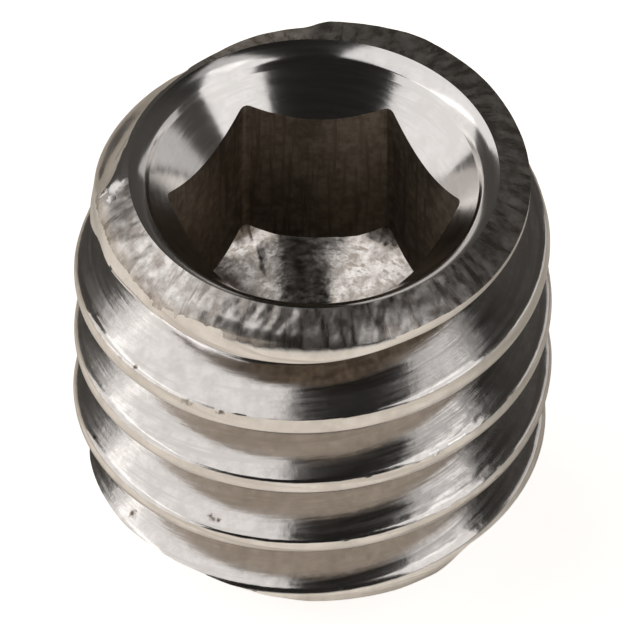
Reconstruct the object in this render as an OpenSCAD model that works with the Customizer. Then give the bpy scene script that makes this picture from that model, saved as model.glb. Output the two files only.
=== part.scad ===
// Hexagon socket set screw with a cup point, one piece of stainless steel, threaded over its whole length.
// It stands on the rim of its point with the socket upwards. Its axis is Z. Sizes in mm.

/* [Thread] */

// Diameter over the crests: a 4 mm thread, a little under its nominal size
major_d = 3.92; // [3.88:0.01:3.98]
// Distance from crest to crest along the axis
pitch = 0.70; // [0.66:0.01:0.74]
// Angle between the two flanks of the groove
flank_angle = 60; // [57:1:62]
// Width of the flat crest
crest_flat = 0.11; // [0.08:0.01:0.14]
// Radius of the rounded root
root_r = 0.10; // [0.08:0.01:0.11]
// Depth below the ridge at which the middle of the groove passes the front
groove_front_depth = 0.60; // [0.50:0.01:0.70]
// How much higher the upper side of the last groove lies at the front right, where it is widest
widening = 0.12; // [0.08:0.01:0.14]
// How much higher it lies at the back left, where the groove opens towards the ridge before it runs out
end_widening = 0.10; // [0.06:0.01:0.12]
// Turns after the pass at the front at which the groove begins to run out
runout_start = 0.72; // [0.68:0.01:0.74]
// Turns it takes to run out
runout_turns = 0.11; // [0.10:0.01:0.20]

/* [Socket end] */

// Overall length, from the rim of the point to the ridge around the socket
length = 4.00; // [3.90:0.05:6.00]
// Diameter of the ridge, the highest line of the socket end
ridge_d = 3.00; // [2.94:0.01:3.03]
// Slope of the rough ring outside the ridge, below the horizontal
ring_slope = 24; // [20:1:28]
// Diameter at the outer edge of the rough ring
ring_d = 3.58; // [3.54:0.01:3.62]
// Diameter of the low crest in the first turn below the ring
low_crest_d = 3.66; // [3.64:0.01:3.72]
// Depth below the ridge down to which the crest is that low
low_crest_depth = 0.43; // [0.38:0.01:0.48]
// Diameter of the crest one half turn further down
young_crest_d = 3.85; // [3.80:0.01:3.87]
// Depth below the ridge at which the crest has that diameter
young_crest_depth = 0.70; // [0.65:0.01:0.80]
// Depth below the ridge at which the crest is full
full_crest_depth = 1.35; // [1.20:0.05:1.50]

/* [Socket] */

// Width of the hexagon across its flats
hex_af = 2.07; // [2.00:0.01:2.10]
// Depth of the hexagon below the ridge
socket_depth = 1.86; // [1.60:0.02:2.00]
// Diameter of the crease where the inner band meets the cone of the mouth
crease_d = 2.67; // [2.62:0.01:2.72]
// Slope of the inner band, from the ridge down to the crease
band_slope = 40; // [35:1:43]
// Slope of the cone, from the crease down to the hexagon
cone_slope = 47; // [44:1:52]
// Depth of the drilled cone in the floor of the socket
floor_dish = 0.48; // [0.36:0.02:0.56]

/* [Point] */

// Outer diameter of the rim that the screw stands on
rim_d = 1.82; // [1.76:0.01:2.00]
// Width of the flat on that rim
rim_flat = 0.07; // [0.05:0.01:0.10]
// Depth of the cup inside the rim
cup_depth = 0.50; // [0.40:0.02:0.60]
// Angle between the point's chamfer and the axis
chamfer_angle = 45; // [42:1:48]

/* [Hidden] */

$fn = 96;

major_r = major_d / 2;
ridge_r = ridge_d / 2;
crease_r = crease_d / 2;
hex_r = hex_af / sqrt(3);
plug_gap = 0.1;
plug_r = hex_af / 2 - plug_gap;
crease_z = length - (ridge_r - crease_r) * tan(band_slope);
plug_z = crease_z - (crease_r - plug_r) * tan(cone_slope);
ring_z = length - (ring_d / 2 - ridge_r) * tan(ring_slope);
floor_z = length - socket_depth;
chamfer_h = (major_r - rim_d / 2) / tan(chamfer_angle);

// The groove's section: straight flanks from a mouth just outside the crests to a rounded root
half_angle = flank_angle / 2;
mouth_half = (pitch - crest_flat) / 2;
mouth_over = 0.05;
mouth_r = major_r + mouth_over;
mouth_z = mouth_half + mouth_over * tan(half_angle);
arc_r = major_r - (mouth_half - root_r / cos(half_angle)) / tan(half_angle);
arc_steps = 4;

// Stretches of the last turn, in turns after its pass at the front, where its upper side lies higher
widen_from = -0.12;
widen_to = 0.40;
end_widen_from = 0.54;
end_widen_turns = 0.12;
// Share of the rise at the front by which the root follows, up along the lower flank
root_share = 0.42;

// The groove climbs right-handed from the point's chamfer, and rises out of the metal at the socket end
turn_steps = 48;
groove_front_z = length - groove_front_depth;
groove_low_z = chamfer_h - 1.2 * pitch;
first_step = floor((groove_low_z - groove_front_z) / pitch * turn_steps);
last_step = ceil((runout_start + runout_turns) * turn_steps);

function runout(turn) = max(0, turn - runout_start) / runout_turns * (mouth_r - arc_r + root_r);

function front_rise(turn) =
    turn < widen_from || turn > widen_to ? 0
    : widening * sin(180 * (turn - widen_from) / (widen_to - widen_from));

function end_rise(turn) = end_widening * min(1, max(0, turn - end_widen_from) / end_widen_turns);

function groove_section(turn) =
    let (root_z = root_share * front_rise(turn), root_in = root_z / tan(half_angle))
    concat(
        [[mouth_r, -mouth_z]],
        [for (k = [0:arc_steps])
            let (b = (half_angle - 90) * (1 - 2 * k / arc_steps))
            let (up = k > arc_steps / 2 ? end_rise(turn) : 0)
            [arc_r - root_in - root_r * cos(b), root_z + root_r * sin(b) + up]],
        [[mouth_r, mouth_z + front_rise(turn) + end_rise(turn)]]
    );

module blank() {
    rotate_extrude()
        polygon([
            [0, cup_depth],
            [rim_d / 2 - rim_flat, 0],
            [rim_d / 2, 0],
            [major_r, chamfer_h],
            [major_r, length - full_crest_depth],
            [young_crest_d / 2, length - young_crest_depth],
            [low_crest_d / 2, length - low_crest_depth],
            [ring_d / 2, ring_z],
            [ridge_r, length],
            [crease_r, crease_z],
            [plug_r, plug_z],
            [0, plug_z]
        ]);
}

module groove() {
    n = arc_steps + 3;
    steps = last_step - first_step;
    points = [for (i = [first_step:last_step])
        let (turn = i / turn_steps, a = 360 * turn - 90, z = groove_front_z + pitch * turn)
        for (p = groove_section(turn))
        let (r = p[0] + runout(turn))
        [r * cos(a), r * sin(a), z + p[1]]];
    sides = [for (i = [0:steps - 1])
        for (k = [0:n - 1])
        let (a = i * n + k)
        let (b = i * n + (k + 1) % n)
        for (f = [[a, a + n, b], [b, a + n, b + n]]) f];
    low_end = [for (k = [0:n - 1]) k];
    high_end = [for (k = [n - 1:-1:0]) steps * n + k];
    polyhedron(points, concat(sides, [low_end, high_end]), convexity = 12);
}

module socket() {
    translate([0, 0, floor_z])
        linear_extrude(length - floor_z)
            circle(r = hex_r, $fn = 6);
    translate([0, 0, floor_z - floor_dish])
        cylinder(h = floor_dish, r1 = 0, r2 = hex_af / 2);
}

module set_screw() {
    color("#b9b4ad")
        difference() {
            blank();
            groove();
            socket();
        }
}

set_screw();
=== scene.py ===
import math

import bmesh
import bpy
from mathutils import Matrix, Vector, noise


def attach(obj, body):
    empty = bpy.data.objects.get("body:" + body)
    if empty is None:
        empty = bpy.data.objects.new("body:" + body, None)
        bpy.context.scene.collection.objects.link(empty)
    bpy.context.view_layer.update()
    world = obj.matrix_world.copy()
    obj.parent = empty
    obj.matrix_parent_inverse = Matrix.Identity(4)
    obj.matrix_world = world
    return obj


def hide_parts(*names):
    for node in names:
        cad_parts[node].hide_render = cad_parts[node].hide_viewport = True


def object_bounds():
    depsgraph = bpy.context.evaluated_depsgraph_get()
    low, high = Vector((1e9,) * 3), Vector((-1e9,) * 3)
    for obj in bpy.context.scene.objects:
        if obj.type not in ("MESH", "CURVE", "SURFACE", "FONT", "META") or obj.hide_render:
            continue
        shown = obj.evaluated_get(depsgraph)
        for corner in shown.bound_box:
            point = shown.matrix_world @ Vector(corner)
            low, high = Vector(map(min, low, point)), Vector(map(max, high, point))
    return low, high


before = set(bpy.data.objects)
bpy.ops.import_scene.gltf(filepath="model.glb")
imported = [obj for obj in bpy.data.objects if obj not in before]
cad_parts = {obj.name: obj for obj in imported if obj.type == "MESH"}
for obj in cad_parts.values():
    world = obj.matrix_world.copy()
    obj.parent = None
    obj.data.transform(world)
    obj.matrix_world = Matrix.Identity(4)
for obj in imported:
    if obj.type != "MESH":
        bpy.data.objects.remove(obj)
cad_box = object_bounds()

# Steel: the whole screw is one piece of austenitic stainless steel, bright but never polished.
# Rolling, turning, broaching and tearing each leave their own surface, so the piece carries eight finishes.
# Sizes are in mm from here until the finished mesh is scaled to metres.
MM = 0.001
streak_r, streak_lean = 2.0, 0.6
pit_range, line_range, dull_range = (0.5, 0.62), (0.36, 0.50), (0.3, 0.7)
mark_colour, mark_grain = "#5a4d42", 28.0


def linear(hex_colour):
    """An sRGB hex colour as linear RGBA."""
    parts = [int(hex_colour[i : i + 2], 16) / 255 for i in (1, 3, 5)]
    return [p / 12.92 if p < 0.04045 else ((p + 0.055) / 1.055) ** 2.4 for p in parts] + [1]


def add(tree, kind, settings=None, inputs=None):
    """Adds a node, sets its properties, and sets or links its inputs, each given by name or number."""
    made = tree.nodes.new(kind)
    for key, value in (settings or {}).items():
        setattr(made, key, value)
    for key, value in (inputs or {}).items():
        if isinstance(value, bpy.types.NodeSocket):
            tree.links.new(value, made.inputs[key])
        else:
            made.inputs[key].default_value = value
    return made


def steel_finish(
    name, colour, dark, rough, spread, along_mm, across_mm, bump_um, pit_share, pit_mm, marks=(),
):
    """Stainless steel worked in streaks that run round the screw, along_mm long and across_mm wide.

    The dark colour lies between the streaks and in pits of pit_mm, both bump_um deep. The roughness varies
    by spread from streak to streak. Each mark is the place and the radius of a ragged dark spot.
    """
    material = bpy.data.materials.new(name)
    material.use_nodes = True
    tree = material.node_tree
    tree.nodes.clear()
    place = add(tree, "ShaderNodeTexCoord").outputs["Object"]
    in_mm = add(tree, "ShaderNodeVectorMath", {"operation": "SCALE"}, {0: place, "Scale": 1 / MM}).outputs[0]
    parts = add(tree, "ShaderNodeSeparateXYZ", None, {0: in_mm}).outputs
    flat = add(tree, "ShaderNodeCombineXYZ", None, {"X": parts["X"], "Y": parts["Y"]}).outputs[0]
    radius = add(tree, "ShaderNodeVectorMath", {"operation": "LENGTH"}, {0: flat}).outputs["Value"]
    outward = add(tree, "ShaderNodeVectorMath", {"operation": "NORMALIZE"}, {0: flat}).outputs[0]

    # A streak follows the circle of its radius and height, the screw being about streak_r in radius.
    circle = add(tree, "ShaderNodeVectorMath", {"operation": "SCALE"},
                 {0: outward, "Scale": streak_r / along_mm})
    level = add(tree, "ShaderNodeMath", {"operation": "MULTIPLY_ADD"},
                {0: parts["Z"], 1: streak_lean, 2: radius})
    row = add(tree, "ShaderNodeMath", {"operation": "MULTIPLY"}, {0: level.outputs[0], 1: 1 / across_mm})
    lift = add(tree, "ShaderNodeCombineXYZ", None, {"Z": row.outputs[0]})
    streak_at = add(tree, "ShaderNodeVectorMath", {"operation": "ADD"},
                    {0: circle.outputs[0], 1: lift.outputs[0]})
    streaks = add(tree, "ShaderNodeTexNoise", None,
                  {"Vector": streak_at.outputs[0], "Scale": 1.0, "Detail": 3.0, "Roughness": 0.6}).outputs[0]
    pits = add(tree, "ShaderNodeTexNoise", None,
               {"Vector": in_mm, "Scale": 1 / pit_mm, "Detail": 4.0, "Roughness": 0.65}).outputs[0]

    pit_edge = add(tree, "ShaderNodeMapRange", None,
                   {0: pits, 1: pit_range[0] - pit_share / 2, 2: pit_range[1], 3: 0.0, 4: 1.0})
    line_edge = add(tree, "ShaderNodeMapRange", None,
                    {0: streaks, 1: line_range[0], 2: line_range[1], 3: 0.0, 4: 1.0})
    clean = add(tree, "ShaderNodeMath", {"operation": "MULTIPLY"},
                {0: pit_edge.outputs[0], 1: line_edge.outputs[0]})
    tone = add(tree, "ShaderNodeMix", {"data_type": "RGBA"},
               {0: clean.outputs[0], 6: linear(dark), 7: linear(colour)}).outputs[2]
    ragged = add(tree, "ShaderNodeTexNoise", None,
                 {"Vector": in_mm, "Scale": mark_grain, "Detail": 2.0}).outputs[0]
    for mark_at, mark_r in marks:
        far = add(tree, "ShaderNodeVectorMath", {"operation": "DISTANCE"}, {0: in_mm, 1: mark_at})
        edge = add(tree, "ShaderNodeMath", {"operation": "MULTIPLY_ADD"},
                   {0: ragged, 1: mark_r * 2.4, 2: far.outputs["Value"]})
        outside = add(tree, "ShaderNodeMapRange", None,
                      {0: edge.outputs[0], 1: mark_r * 1.2, 2: mark_r * 2.2, 3: 0.0, 4: 1.0})
        tone = add(tree, "ShaderNodeMix", {"data_type": "RGBA"},
                   {0: outside.outputs[0], 6: linear(mark_colour), 7: tone}).outputs[2]

    dull = add(tree, "ShaderNodeMapRange", None,
               {0: streaks, 1: dull_range[0], 2: dull_range[1], 3: rough - spread, 4: rough + spread})
    height = add(tree, "ShaderNodeMath", {"operation": "ADD"}, {0: streaks, 1: pits})
    bump = add(tree, "ShaderNodeBump", None,
               {"Strength": 1.0, "Distance": bump_um * 1e-6, "Height": height.outputs[0]})
    shader = add(tree, "ShaderNodeBsdfPrincipled", None, {
        "Metallic": 1.0, "Base Color": tone, "Roughness": dull.outputs[0], "Normal": bump.outputs[0],
    })
    add(tree, "ShaderNodeOutputMaterial", None, {"Surface": shader.outputs[0]})
    return material


# Marks on the thread: a pit and a spot low at the left, a scratch on the lowest full flank at the front
# left, a spot on the top flank, and two nicks in the crest below it.
chamfer_pit = [((-1.445, -1.043, 1.002), 0.045)]
flank_marks = [
    ((-0.79, -1.69, 1.72), 0.03), ((-0.76, -1.71, 1.70), 0.03), ((-0.72, -1.725, 1.705), 0.03),
    ((-1.404, -1.293, 3.041), 0.025), ((-1.755, -0.749, 1.603), 0.025),
]
crest_nicks = [
    ((-1.02, -1.65, 3.04), 0.032), ((-0.98, -1.675, 3.045), 0.032), ((-0.94, -1.70, 3.05), 0.03),
    ((-0.74, -1.79, 3.07), 0.032), ((-0.70, -1.805, 3.075), 0.032),
]

# The dies leave the flanks almost mirror-bright, with long fine lines that draw out every reflection.
rolled_steel = steel_finish(
    "rolled_stainless", "#cfcac6", "#bfbab5", rough=0.15, spread=0.06, along_mm=1.2, across_mm=0.03,
    bump_um=0.9, pit_share=0.3, pit_mm=0.12, marks=chamfer_pit + flank_marks + crest_nicks)
# Parting tears the end face: a sparkling, mottled grey with short marks across the ring.
torn_steel = steel_finish(
    "torn_stainless", "#cdc8c3", "#8d857e", rough=0.30, spread=0.06, along_mm=0.10, across_mm=0.20,
    bump_um=1.5, pit_share=0.3, pit_mm=0.14)
# The heading punch leaves the mouth of the socket the smoothest, with clear, hard-edged reflections.
formed_steel = steel_finish(
    "formed_stainless", "#d2cecb", "#c9c5c1", rough=0.13, spread=0.03, along_mm=1.0, across_mm=0.05,
    bump_um=0.4, pit_share=0.2, pit_mm=0.20)
# The broach drags along the walls of the hexagon: dull and brownish, with lines down the wall.
broached_steel = steel_finish(
    "broached_stainless", "#b5a999", "#8a7e70", rough=0.45, spread=0.06, along_mm=0.08, across_mm=0.40,
    bump_um=1.5, pit_share=0.3, pit_mm=0.10)
# Chips and smeared metal in the corners of the floor and under the last crest: dark, rough and dead, the
# dark colour being partly painted shade in those corners and under the crest.
chips_and_shade_steel = steel_finish(
    "chips_and_shade_stainless", "#9c9184", "#5f564e", rough=0.50, spread=0.08, along_mm=0.15, across_mm=0.15,
    bump_um=5.0, pit_share=0.3, pit_mm=0.06)
# Turning leaves the point satin, with fine grooves all the way round.
turned_steel = steel_finish(
    "turned_stainless", "#c4beb7", "#a39a90", rough=0.26, spread=0.05, along_mm=1.5, across_mm=0.04,
    bump_um=1.5, pit_share=0.3, pit_mm=0.12, marks=chamfer_pit)
# The drilled floor of the socket is bright but broken up, so that it glitters in patches.
drilled_steel = steel_finish(
    "drilled_stainless", "#e4ded8", "#9a9188", rough=0.20, spread=0.06, along_mm=0.2, across_mm=0.05,
    bump_um=1.0, pit_share=0.3, pit_mm=0.12)
# Handling burnishes the crests, and their paler colour is partly a painted highlight, so that they stand out
# as pale lines.
burnish_and_highlight_steel = steel_finish(
    "burnish_and_highlight_stainless", "#eceae8", "#d2cfcb", rough=0.20, spread=0.05, along_mm=1.6, across_mm=0.03,
    bump_um=0.9, pit_share=0.4, pit_mm=0.30, marks=crest_nicks)
finishes = [
    rolled_steel, torn_steel, formed_steel, broached_steel,
    chips_and_shade_steel, turned_steel, drilled_steel, burnish_and_highlight_steel,
]
rolled, torn, formed, broached, chips_and_shade, turned, drilled, burnish_and_highlight = range(len(finishes))

# Thread: rolled between flat dies, right-handed, with rounded crests and roots and 60 degree flanks.
# Near the socket the last turn is low, its groove is wider in places, and it runs out into the end face.
# Turns count from the last pass of the groove at the front. A crest has the number of the groove above it.
major_r = round(cad_box[1][0] / MM, 3)
pitch = 0.70
crest_half = 0.055
root_r = 0.10
half_angle = math.radians(30)
flank = math.tan(half_angle)
groove_front_z = 3.40
mouth_half = pitch / 2 - crest_half
arc_r = major_r - (mouth_half - root_r / math.cos(half_angle)) / flank
root_share = 0.55
turn_steps = 270
first_turn, turns = -5, 7
thread_low, thread_high, thread_spare = 0.35, 4.05, 0.5
wear_depth, chatter_depth, wear_grain = 0.003, 0.0045, (55, 60)
under_crest, under_slope = (0.06, 0.34), -0.3
chips_and_shade_turns = (-0.14, 0.3)
crest_in, crest_slope = 1.7, 0.55


def along(points, x):
    """The value at x of a line that runs smoothly from point to point."""
    if x <= points[0][0]:
        return points[0][1]
    for (x0, y0), (x1, y1) in zip(points, points[1:]):
        if x <= x1:
            share = (x - x0) / (x1 - x0)
            return y0 + (y1 - y0) * share * share * (3 - 2 * share)
    return points[-1][1]


def azimuth(turn):
    """Direction of a turn in degrees, -90 being the front."""
    return (360 * turn + 90) % 360 - 180


def crest_at(turn):
    """Radius of the crest: full in the middle, lower at the start and in the turn below the end face."""
    return along([(-2.85, 1.905), (-2.55, 1.95), (-2.25, 1.96), (-0.75, 1.945), (-0.25, 1.945), (0.25, 1.92),
                  (0.56, 1.895), (0.67, 1.834), (0.76, 1.81), (0.80, 1.795), (0.85, 1.785), (0.92, 1.795),
                  (1.0, 1.811), (1.25, 1.75), (1.375, 1.79), (1.47, 1.86)], turn)


def crest_round(turn):
    """Radius of the crest's corners: rounder at the sides than at the front, sharp in the last turn."""
    corner_r = along([(-2.85, 0.085), (-2.6, 0.05), (0.6, 0.05), (0.7, 0.03)], turn)
    at_sides = along([(-135, 1), (-110, 0), (-80, 0), (-55, 1)], azimuth(turn))
    return corner_r + 0.035 * at_sides * along([(0.5, 1), (0.6, 0)], turn)


def crown(turn):
    """How much the top of the last crest leans in."""
    return along([(0.65, 0), (0.80, 0.5), (1.0, 0.53), (1.25, 0)], turn)


def front_rise(turn):
    """How much further up the upper side of the last groove lies, at the left and at the front right."""
    return along([(-0.31, 0), (-0.25, 0.05), (-0.22, 0.11), (-0.19, 0.16), (-0.15, 0.18), (-0.12, 0.155),
                  (-0.09, 0.11), (-0.05, 0.07), (0.0, 0.065), (0.08, 0.115), (0.15, 0.12), (0.28, 0.07),
                  (0.40, 0.0)], turn)


def root_rise(turn):
    """How far the root follows it, up along the lower flank: less at the left than at the right."""
    return root_share * along([(-0.1, 0.5), (0, 1)], turn) * front_rise(turn)


def end_rise(turn):
    """How much further up it lies at the back left, where the groove opens towards the ridge."""
    return along([(0.54, 0), (0.61, 0.085), (0.70, 0.10)], turn)


def runout(turn):
    """How far the groove has risen out of the metal."""
    return along([(0.70, 0), (0.74, 0.06), (0.81, 0.36), (1.0, 0.46)], turn)


def edge_wear(up_flank, turn):
    """Depth of the wear near a crest, by the share of the flank passed, with chatter at the front right."""
    chatter = chatter_depth * along([(0.28, 1), (0.5, 0)], up_flank)
    chatter *= along([(-90, 0), (-80, 0.5), (-66, 0.5), (-58, 1), (-42, 1), (-32, 0)], azimuth(turn))
    chatter *= along([(-2.2, 0), (-2, 1), (-0.85, 1), (-0.5, 0)], turn)
    return wear_depth * along([(0.07, 1), (0.22, 0)], up_flank) + chatter


# The section of one pitch, from the middle of a crest over the groove to the middle of the next crest
up_rows, root_rows, down_rows = 14, 6, 5
corner_angles = (0, 15, 30, 45, 60)
stations = [("low_flat", 0)] + [("low_corner", e) for e in corner_angles]
stations += [("up_flank", k / up_rows) for k in range(1, up_rows)]
stations += [("root", k / root_rows) for k in range(root_rows + 1)]
stations += [("down_flank", k / down_rows) for k in range(1, down_rows)]
stations += [("high_corner", e) for e in reversed(corner_angles)] + [("high_flat", 0)]


def thread_point(kind, at, turn):
    """Radius and height of one point of the section, the groove's middle being at height 0."""
    low, high = crest_at(turn), crest_at(turn + 1)
    low_edge = -mouth_half + (major_r - low) * flank
    high_edge = mouth_half + front_rise(turn) + end_rise(turn) - (major_r - high) * flank
    low_round = min(crest_round(turn), 0.9 * (low_edge + pitch / 2) / flank)
    high_round = max(0.005, min(crest_round(turn + 1), 0.9 * (pitch / 2 - high_edge) / flank))
    root_z = root_rise(turn)
    root_mid = arc_r - root_z / flank
    foot = root_mid - root_r / 2
    reach = root_r * math.cos(half_angle)
    if kind == "low_flat":
        r, z = low, -pitch / 2
    elif kind == "low_corner":
        e = math.radians(at)
        r, z = low - low_round * (1 - math.cos(e)), low_edge - low_round * (flank - math.sin(e))
    elif kind == "up_flank":
        r = low - low_round / 2
        z = low_edge + flank * low_round / 2
        r, z = r + (foot - r) * at, z + (root_z - reach - z) * at
    elif kind == "root":
        e = math.radians(-60 + 120 * at)
        r, z = root_mid - root_r * math.cos(e), root_z + root_r * math.sin(e) + end_rise(turn) * at
    elif kind == "down_flank":
        r = high - high_round / 2
        z = high_edge - flank * high_round / 2
        head_z = root_z + reach + end_rise(turn)
        r, z = foot + (r - foot) * at, head_z + (z - head_z) * at
    elif kind == "high_corner":
        e = math.radians(at)
        r, z = high - high_round * (1 - math.cos(e)), high_edge + high_round * (flank - math.sin(e))
    else:
        r, z = high, pitch / 2
    above_crest = z + pitch / 2
    outside = low + (high - low) * min(1.0, max(0.0, above_crest / pitch))
    outside -= crown(turn) * min(2 * crest_half, max(0.0, above_crest))
    return min(r + runout(turn), outside), z


bm = bmesh.new()
station = bm.verts.layers.int.new("station")
start_heights = []
last = None
for number, (kind, at) in enumerate(stations):
    r, z = thread_point(kind, at, first_turn)
    start_heights.append(z + groove_front_z + pitch * first_turn)
    vertex = bm.verts.new((0, -r, start_heights[-1]))
    vertex[station] = number
    if last:
        bm.edges.new((last, vertex))
    last = vertex
bmesh.ops.spin(
    bm, geom=bm.verts[:] + bm.edges[:], cent=(0, 0, 0), axis=(0, 0, 1), dvec=(0, 0, pitch / turn_steps),
    angle=math.tau, steps=turn_steps,
)
one_turn = bm.verts[:] + bm.edges[:] + bm.faces[:]
for count in range(1, turns):
    copied = bmesh.ops.duplicate(bm, geom=one_turn)["geom"]
    moved = [g for g in copied if isinstance(g, bmesh.types.BMVert)]
    bmesh.ops.translate(bm, vec=(0, 0, pitch * count), verts=moved)
for vertex in bm.verts:
    number = vertex[station]
    kind, at = stations[number]
    turn = first_turn + round((vertex.co.z - start_heights[number]) / pitch * turn_steps) / turn_steps
    r, z = thread_point(kind, at, turn)
    angle = math.tau * turn - math.pi / 2
    if kind in ("low_corner", "up_flank"):
        grain = noise.fractal(Vector((angle * wear_grain[0], z * wear_grain[1], turn)), 1.0, 2.0, 2)
        r -= edge_wear(at if kind == "up_flank" else 0, turn) * (0.3 + grain)
    vertex.co = (r * math.cos(angle), r * math.sin(angle), groove_front_z + pitch * turn + z)
bmesh.ops.remove_doubles(bm, verts=bm.verts[:], dist=2e-4)
for height, is_low in ((thread_low, True), (thread_high, False)):
    bmesh.ops.bisect_plane(
        bm, geom=bm.verts[:] + bm.edges[:] + bm.faces[:], dist=1e-6,
        plane_co=(0, 0, height), plane_no=(0, 0, 1), clear_inner=is_low, clear_outer=not is_low,
    )
    rim = [e for e in bm.edges if e.is_boundary and all(abs(v.co.z - height) < 1e-4 for v in e.verts)]
    cap = bmesh.ops.contextual_create(bm, geom=rim)["faces"]
    if is_low:
        grown = bmesh.ops.extrude_face_region(bm, geom=cap)["geom"]
        bmesh.ops.delete(bm, geom=cap, context="FACES_ONLY")
        moved = [g for g in grown if isinstance(g, bmesh.types.BMVert)]
        bmesh.ops.translate(bm, vec=(0, 0, -thread_spare), verts=moved)
bmesh.ops.recalc_face_normals(bm, faces=bm.faces[:])
for face in bm.faces:
    middle = face.calc_center_median()
    turn = (math.atan2(middle.y, middle.x) + math.pi / 2) / math.tau
    above_groove = middle.z - groove_front_z - pitch * turn
    is_under = under_crest[0] < above_groove < under_crest[1] and face.normal.z < under_slope
    ragged_turn = turn + 0.06 * noise.noise(middle * 3) + 0.03 * noise.noise(middle * 9)
    # Faces that look down under the last crest take the dark finish: partly chips, partly painted shade
    # under the crest.
    if is_under and chips_and_shade_turns[0] < ragged_turn < chips_and_shade_turns[1]:
        face.material_index = chips_and_shade
    # Crest faces take the paler finish: partly handling wear, partly a painted highlight.
    elif math.hypot(middle.x, middle.y) > crest_in and abs(face.normal.z) < crest_slope:
        face.material_index = burnish_and_highlight


def as_object(name, bm, materials):
    """A new object with this mesh and these materials."""
    mesh = bpy.data.meshes.new(name)
    bm.to_mesh(mesh)
    bm.free()
    for material in materials:
        mesh.materials.append(material)
    made = bpy.data.objects.new(name, mesh)
    bpy.context.scene.collection.objects.link(made)
    return made


thread = as_object("thread", bm, finishes)

# Blank: turned from bar before the thread is rolled, with a 45 degree chamfer down to a cup point.
# A punch forms the coned mouth of the socket. Rolling and parting leave the end face round it as a torn ring
# that slopes down to the last crest. The blank keeps what lies inside it of the thread.
length = round(cad_box[1][2] / MM, 3)
ridge_r, crease_r, plug_r = 1.50, 1.335, 0.935
crease_z = length - (ridge_r - crease_r) * math.tan(math.radians(40))
plug_z = crease_z - (crease_r - plug_r) * math.tan(math.radians(47))
rim_r, rim_flat, cup_depth = 0.91, 0.07, 0.50
soft_edge = 0.004
beyond, shoulder_z = 2.1, 3.70
blank_steps, chamfer_rows, cone_rows = 480, 16, 8
ring_angle = 24
ring_fall = math.tan(math.radians(ring_angle))
ring_in, ring_out, ring_rows = ridge_r + 0.012, 1.93, 34
roll_r = 1.66
tear_height, score_height = 0.005, 0.009
burr_r, burr_width, burr_depth = 1.775, 0.014, 0.02
turned_top, mouth_low = 1.6, 3.42
torn_from, torn_to = -173, 128


def ring_slope(az):
    """Fall of the end face in degrees: steeper at the left, flatter at the back."""
    return ring_angle + along([(-178, 0), (-168, 12), (-140, 12), (-115, 0), (22, 0), (50, -10), (87, -10),
                               (95, -2), (112, 0)], az)


def ring_roll(az):
    """How strongly the outer edge of the end face is rolled over, at the left and the front."""
    return along([(-178, 0), (-168, 6.5), (-130, 6.5), (-112, 6.0), (-95, 3.8), (-72, 2.0), (-55, 0.5),
                  (-20, 0)], az)


def tear_share(az):
    """How rough the end face is: torn from the left round to the front, smoother at the back."""
    return along([(-180, 0), (-172, 0.6), (-165, 1), (-60, 1), (-20, 0.7), (30, 0.45), (85, 0.3),
                  (130, 0)], az)


def score_share(az):
    """How deep its radial scores are: deepest at the left."""
    return along([(-110, 1), (-80, 0.5)], az)


def burr_share(az):
    """Where rolling has left a crease between the ring and the last crest."""
    return along([(-150, 0), (-134, 1), (-103, 1), (-90, 0)], az)


def lip(az):
    """How far the top of the point's chamfer stands out: a lip at the front, where the thread starts."""
    return along([(-180, -0.02), (-168, 0.03), (-145, 0.015), (-134, -0.015), (-126, -0.025), (-119, -0.035),
                  (-107, -0.01), (-98, 0.025), (-88, 0.055), (-68, 0.055), (-58, 0.03), (-45, -0.10),
                  (-12, -0.11), (90, -0.06)], az)


rim_in = rim_r - rim_flat
profile = [(r, cup_depth * (1 - r / rim_in)) for r in (0, 0.42, 0.78)]
profile += [(rim_in + soft_edge, 0), (rim_r - 1.5 * soft_edge, 0)]
chamfer_run = beyond - rim_r - soft_edge
chamfer_steps = [chamfer_run * k / chamfer_rows for k in range(chamfer_rows + 1)]
profile += [(rim_r + soft_edge + run, soft_edge + run) for run in chamfer_steps]
profile += [(beyond, 2.6), (beyond, shoulder_z)]
ring_radii = [beyond, 2.0] + [ring_out + (ring_in - ring_out) * k / ring_rows for k in range(ring_rows + 1)]
profile += [(r, length - (r - ridge_r) * ring_fall) for r in ring_radii]
profile += [(ridge_r, length)]
band = ridge_r - crease_r
band_steps = (0.06, 0.2, 0.35, 0.5, 0.65, 0.75, 0.85)
profile += [(ridge_r - band * s, length - band * (0.42 * s + 0.2824 * s * s)) for s in band_steps]
profile += [(crease_r + 0.003, crease_z + 0.003), (crease_r - 0.006, crease_z - 0.0064)]
cone_steps = [k / cone_rows for k in range(1, cone_rows + 1)]
profile += [(crease_r + (plug_r - crease_r) * s, crease_z + (plug_z - crease_z) * s) for s in cone_steps]
profile += [(0.5, plug_z), (0, plug_z)]
bm = bmesh.new()
last = None
for r, z in profile:
    vertex = bm.verts.new((0, -r, z))
    if last:
        bm.edges.new((last, vertex))
    last = vertex
bmesh.ops.spin(
    bm, geom=bm.verts[:] + bm.edges[:], cent=(0, 0, 0), axis=(0, 0, 1), angle=math.tau, steps=blank_steps,
    use_merge=True,
)
bmesh.ops.remove_doubles(bm, verts=bm.verts[:], dist=2e-5)
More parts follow.
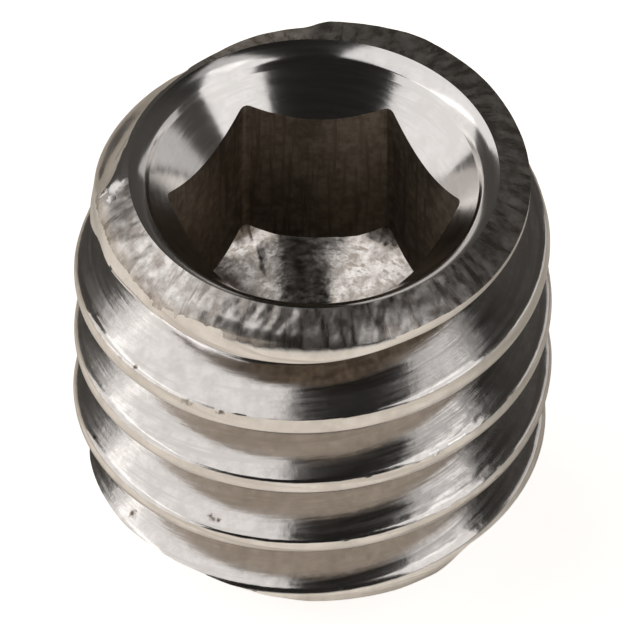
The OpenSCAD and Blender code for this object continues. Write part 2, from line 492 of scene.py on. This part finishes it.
for vertex in bm.verts:
    x, y, z = vertex.co
    r = math.hypot(x, y)
    angle = math.atan2(y, x)
    az = math.degrees(angle)
    if ridge_r + 0.001 < r < beyond + 0.01 and z > shoulder_z + 0.01:
        fall = (r - ridge_r) * math.tan(math.radians(ring_slope(az)))
        fall += max(0.0, r - roll_r) ** 2 * ring_roll(az)
        tear = noise.fractal(Vector((x, y, 1.7)) * 6.5, 1.0, 2.0, 2)
        score = noise.fractal(Vector((angle * 22 + r * 6, r * 6, 4.2)), 1.0, 2.0, 2)
        rough = tear_share(az) * min(1.0, (r - ridge_r) / 0.03)
        burr = burr_depth * burr_share(az) * math.exp(-((r - burr_r) / burr_width) ** 2)
        relief = (tear_height * tear + score_height * score * score_share(az)) * rough - burr
        vertex.co.z = min(length, length - fall + relief)
    elif 0.1 < z < 1.3 and r > rim_r + 0.01:
        spread = (r + lip(az) * min(1.0, z) ** 2) / r
        vertex.co.x, vertex.co.y = x * spread, y * spread
bmesh.ops.recalc_face_normals(bm, faces=bm.faces[:])
for face in bm.faces:
    middle = face.calc_center_median()
    if middle.z < turned_top:
        face.material_index = turned
    elif middle.z > shoulder_z and math.hypot(middle.x, middle.y) > ridge_r + 0.005:
        ragged_az = math.degrees(math.atan2(middle.y, middle.x)) + 8 * noise.noise(middle * 9)
        face.material_index = torn if torn_from < ragged_az < torn_to else formed
    elif middle.z > mouth_low:
        face.material_index = formed
blank = as_object("blank", bm, finishes)

# Socket: a drilled hole broached to a hexagon for a 2 mm key, a little over 2 mm across its flats.
# The broach rounds the corners slightly and pushes chips to the floor, whose drilled cone stays bright.
hex_af = 2.07
corner_cut = 0.05
floor_z = length - 1.86
floor_dish, dish_power = 0.48, 1.25
drill_r = hex_af / 2
socket_top = 4.3
chip_in, chip_rise = 1.09, 0.7
streak_height, streak_grain = 0.007, (7.0, 2.5)
bm = bmesh.new()
bmesh.ops.create_circle(bm, cap_ends=True, segments=6, radius=hex_af / math.sqrt(3))
bmesh.ops.bevel(
    bm, geom=bm.verts[:], affect="VERTICES", offset=corner_cut, segments=3, profile=0.5, material=-1,
)
bmesh.ops.rotate(bm, cent=(0, 0, 0), matrix=Matrix.Rotation(math.radians(30), 3, "Z"), verts=bm.verts[:])
bmesh.ops.translate(bm, vec=(0, 0, floor_z), verts=bm.verts[:])
bmesh.ops.poke(bm, faces=bm.faces[:])
bmesh.ops.subdivide_edges(bm, edges=bm.edges[:], cuts=15, use_grid_fill=True)
grown = bmesh.ops.extrude_face_region(bm, geom=bm.faces[:])["geom"]
top = [g for g in grown if isinstance(g, bmesh.types.BMVert)]
bmesh.ops.translate(bm, vec=(0, 0, socket_top - floor_z), verts=top)
for vertex in bm.verts:
    if vertex.co.z < floor_z + 0.01:
        x, y, z = vertex.co
        r = math.hypot(x, y)
        streak = noise.fractal(Vector((x * streak_grain[0], y * streak_grain[1], 2.4)), 1.0, 2.0, 3)
        chips = chip_rise * max(0.0, r - chip_in)
        cone = floor_dish * ((r / drill_r) ** dish_power - 1)
        vertex.co.z = floor_z + cone + streak_height * streak + chips
bmesh.ops.recalc_face_normals(bm, faces=bm.faces[:])
for face in bm.faces:
    middle = face.calc_center_median()
    if middle.z > floor_z + 0.3:
        face.material_index = broached
    # The floor's corners and steep faces take the dark finish: partly chips, partly painted shade in the
    # corners of the recess.
    elif math.hypot(middle.x, middle.y) > 1.14 or abs(face.normal.z) < 0.3:
        face.material_index = chips_and_shade
    else:
        face.material_index = drilled
socket = as_object("socket", bm, finishes)

# Screw: the thread inside the blank, less the socket, as one closed mesh that stands in for the CAD node.
# Where the last groove runs out at the left, rolling has smoothed the metal.
soft_passes, soft_from, soft_to = 30, 130, 205
sharp_edge = math.radians(32)
for operation, tool in (("INTERSECT", blank), ("DIFFERENCE", socket)):
    cut = thread.modifiers.new(tool.name, "BOOLEAN")
    cut.operation, cut.object, cut.solver = operation, tool, "MANIFOLD"
bpy.context.view_layer.update()
whole = thread.evaluated_get(bpy.context.evaluated_depsgraph_get())
bm = bmesh.new()
bm.from_mesh(whole.to_mesh())
whole.to_mesh_clear()
for tool in (thread, blank, socket):
    bpy.data.objects.remove(tool)
bmesh.ops.remove_doubles(bm, verts=bm.verts[:], dist=5e-5)
bmesh.ops.dissolve_degenerate(bm, edges=bm.edges[:], dist=5e-5)
left_end = [(math.degrees(math.atan2(v.co.y, v.co.x)) % 360, v) for v in bm.verts
            if v.co.z > 3.55 and math.hypot(v.co.x, v.co.y) > 1.55 and v.co.x < 0]
for count in range(soft_passes):
    soft = [v for az, v in left_end if soft_from + count < az < soft_to - count / 3]
    bmesh.ops.smooth_vert(bm, verts=soft, factor=0.5, use_axis_x=True, use_axis_y=True, use_axis_z=True)
for face in bm.faces:
    face.smooth = True
for edge in bm.edges:
    edge.smooth = len(edge.link_faces) == 2 and edge.calc_face_angle() < sharp_edge
bmesh.ops.scale(bm, vec=(MM, MM, MM), verts=bm.verts[:])
screw = as_object("set_screw_steel", bm, finishes)
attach(screw, "root")
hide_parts("set_screw")

# Floor: a sheet of white paper that the screw stands on, with its soft shadow left on it.
# Steel mirrors the paper too, through a glow that only reflections see, with painted shadow and a painted
# warm tint in it: brightest in front and at the left, darker behind and close to the screw.
paper_r, paper_glow = 0.4, 0.8
mirror_right, mirror_range = 0.45, (-2.5, 3)
mirror_bright, mirror_dim = 0.46, 0.05
shade_range, shade_dim = (2.0, 3.8), 0.15
paper = bpy.data.materials.new("white_paper")
paper.use_nodes = True
tree = paper.node_tree
tree.nodes.clear()
ray = add(tree, "ShaderNodeLightPath").outputs
on_paper = add(tree, "ShaderNodeTexCoord").outputs["Object"]
parts = add(tree, "ShaderNodeSeparateXYZ", None, {0: on_paper}).outputs
# Painted shadow in reflections: the glow fades from the front left towards the back right.
beside = add(tree, "ShaderNodeMath", {"operation": "MULTIPLY_ADD"},
             {0: parts["X"], 1: mirror_right, 2: parts["Y"]})
clear = add(tree, "ShaderNodeMapRange", {"interpolation_type": "SMOOTHSTEP"}, {
    0: beside.outputs[0], 1: mirror_range[0] * MM, 2: mirror_range[1] * MM, 3: mirror_bright, 4: mirror_dim,
})
# Painted contact shadow in reflections: the glow is dimmed close to the screw.
apart = add(tree, "ShaderNodeVectorMath", {"operation": "LENGTH"}, {0: on_paper})
painted_contact_shadow = add(tree, "ShaderNodeMapRange", {"interpolation_type": "SMOOTHSTEP"}, {
    0: apart.outputs["Value"], 1: shade_range[0] * MM, 2: shade_range[1] * MM, 3: shade_dim, 4: 1.0,
})
mirrored = add(tree, "ShaderNodeMath", {"operation": "MAXIMUM"},
               {0: ray["Is Glossy Ray"], 1: ray["Is Transmission Ray"]})
mirrored = add(tree, "ShaderNodeMath", {"operation": "MULTIPLY"},
               {0: mirrored.outputs[0], 1: clear.outputs[0]})
mirrored = add(tree, "ShaderNodeMath", {"operation": "MULTIPLY"},
               {0: mirrored.outputs[0], 1: painted_contact_shadow.outputs[0]})
seen = add(tree, "ShaderNodeMath", {"operation": "MAXIMUM"},
           {0: ray["Is Camera Ray"], 1: mirrored.outputs[0]})
strength = add(tree, "ShaderNodeMath", {"operation": "MULTIPLY"}, {0: seen.outputs[0], 1: paper_glow})
# Painted warm reflection: reflections see the paper warmer than the camera does.
tint = add(tree, "ShaderNodeMix", {"data_type": "RGBA"},
           {0: ray["Is Camera Ray"], 6: linear("#fff5e9"), 7: linear("#ffffff")})
lit = add(tree, "ShaderNodeBsdfDiffuse", None, {"Color": linear("#f2e8da")})
glow = add(tree, "ShaderNodeEmission", None, {"Color": tint.outputs[2], "Strength": strength.outputs[0]})
both = add(tree, "ShaderNodeAddShader", None, {0: lit.outputs[0], 1: glow.outputs[0]})
add(tree, "ShaderNodeOutputMaterial", None, {"Surface": both.outputs[0]})
bm = bmesh.new()
bmesh.ops.create_circle(bm, cap_ends=True, segments=64, radius=paper_r)
as_object("floor", bm, [paper])

# Camera: a long lens half above the screw, looking down into its socket. The picture is 624 pixels square.
# The lens and the place come from fitting the crest lines of the thread.
PICTURE_PX = 624
SENSOR_MM = 36
camera_rise = math.radians(46.97)
camera_turn = math.radians(1.15)
camera_lean = math.radians(0.44)
camera_distance = 117.6 * MM
camera_target = Vector((-0.0074, 0, 2.352)) * MM
focal_px = 14426
away = Vector((
    math.sin(camera_turn) * math.cos(camera_rise),
    -math.cos(camera_turn) * math.cos(camera_rise),
    math.sin(camera_rise),
))
level = Vector((math.cos(camera_turn), math.sin(camera_turn), 0))
upright = away.cross(level)
right = level * math.cos(camera_lean) + upright * math.sin(camera_lean)
upward = away.cross(right)
camera = bpy.data.objects.new("camera", bpy.data.cameras.new("camera"))
camera.data.sensor_width = SENSOR_MM
camera.data.lens = focal_px * SENSOR_MM / PICTURE_PX
camera.data.clip_start, camera.data.clip_end = 5 * MM, 600 * MM
place = Matrix((right, upward, away)).transposed().to_4x4()
place.translation = camera_target + away * camera_distance
camera.matrix_world = place
bpy.context.scene.collection.objects.link(camera)
bpy.context.scene.camera = camera
bpy.context.scene.view_settings.view_transform = "Standard"

# Light: soft boxes overhead at the left and, dimmer, at the right, and one low at either side of the camera.
# The room behind them is dim, with a pale band along the horizon that edges the crests.
DOWN, INWARD = Vector((0, 0, -1)), Vector((1, 0, 0))
screw_middle = Vector((0, 0, 2.5))


def soft_box(name, where, size, brightness, facing=None):
    """A rectangular soft box, in mm, that faces one way or the screw; brightness 1 is white in a mirror."""
    if facing is None:
        facing = (screw_middle - Vector(where)).normalized()
    box = bpy.data.objects.new(name, bpy.data.lights.new(name, "AREA"))
    box.data.shape = "RECTANGLE"
    box.data.size, box.data.size_y = size[0] * MM, size[1] * MM
    box.data.energy = brightness * math.pi * size[0] * size[1] * MM * MM
    box.data.color = linear("#fefeff")[:3]
    box.rotation_mode = "QUATERNION"
    box.rotation_quaternion = facing.to_track_quat("-Z", "Y")
    box.location = Vector(where) * MM
    bpy.context.scene.collection.objects.link(box)


soft_box("overhead_left", (-80, 22, 102), (118, 166), 1.18, DOWN)
soft_box("left_side", (-125, -27, 58), (165, 100), 1.15, INWARD)
soft_box("overhead_right", (50, -16, 102), (22, 48), 0.75, DOWN)
soft_box("overhead_far_right", (69, -16, 102), (16, 48), 0.45, DOWN)
soft_box("front_right", (83, -54, 67), (72, 112), 1.25)
soft_box("low_right", (106, 46, 21), (92, 41), 0.65)

room_bright, room_dim, horizon_bright, horizon_behind = 0.085, 0.02, 0.55, 0.1
world = bpy.data.worlds.new("studio")
bpy.context.scene.world = world
world.use_nodes = True
room = world.node_tree
outlook = add(room, "ShaderNodeTexCoord").outputs["Generated"]
toward = add(room, "ShaderNodeSeparateXYZ", None, {0: outlook}).outputs
upper = add(room, "ShaderNodeMath", {"operation": "MULTIPLY_ADD"}, {0: toward["Y"], 1: -0.5, 2: toward["Z"]})
walls = add(room, "ShaderNodeMapRange", {"interpolation_type": "SMOOTHSTEP"},
            {0: upper.outputs[0], 1: 0.35, 2: 0.85, 3: room_bright, 4: room_dim})
horizon = add(room, "ShaderNodeMapRange", {"interpolation_type": "SMOOTHSTEP"},
              {0: toward["Z"], 1: 0.02, 2: 0.15, 3: horizon_bright, 4: 0.0})
behind = add(room, "ShaderNodeMapRange", {"interpolation_type": "SMOOTHSTEP"},
             {0: toward["Y"], 1: 0.3, 2: 0.8, 3: 1.0, 4: horizon_behind})
horizon = add(room, "ShaderNodeMath", {"operation": "MULTIPLY"},
              {0: horizon.outputs[0], 1: behind.outputs[0]})
brightness = add(room, "ShaderNodeMath", {"operation": "ADD"}, {0: walls.outputs[0], 1: horizon.outputs[0]})
background = room.nodes["Background"]
background.inputs["Color"].default_value = linear("#fff9f2")
room.links.new(brightness.outputs[0], background.inputs["Strength"])
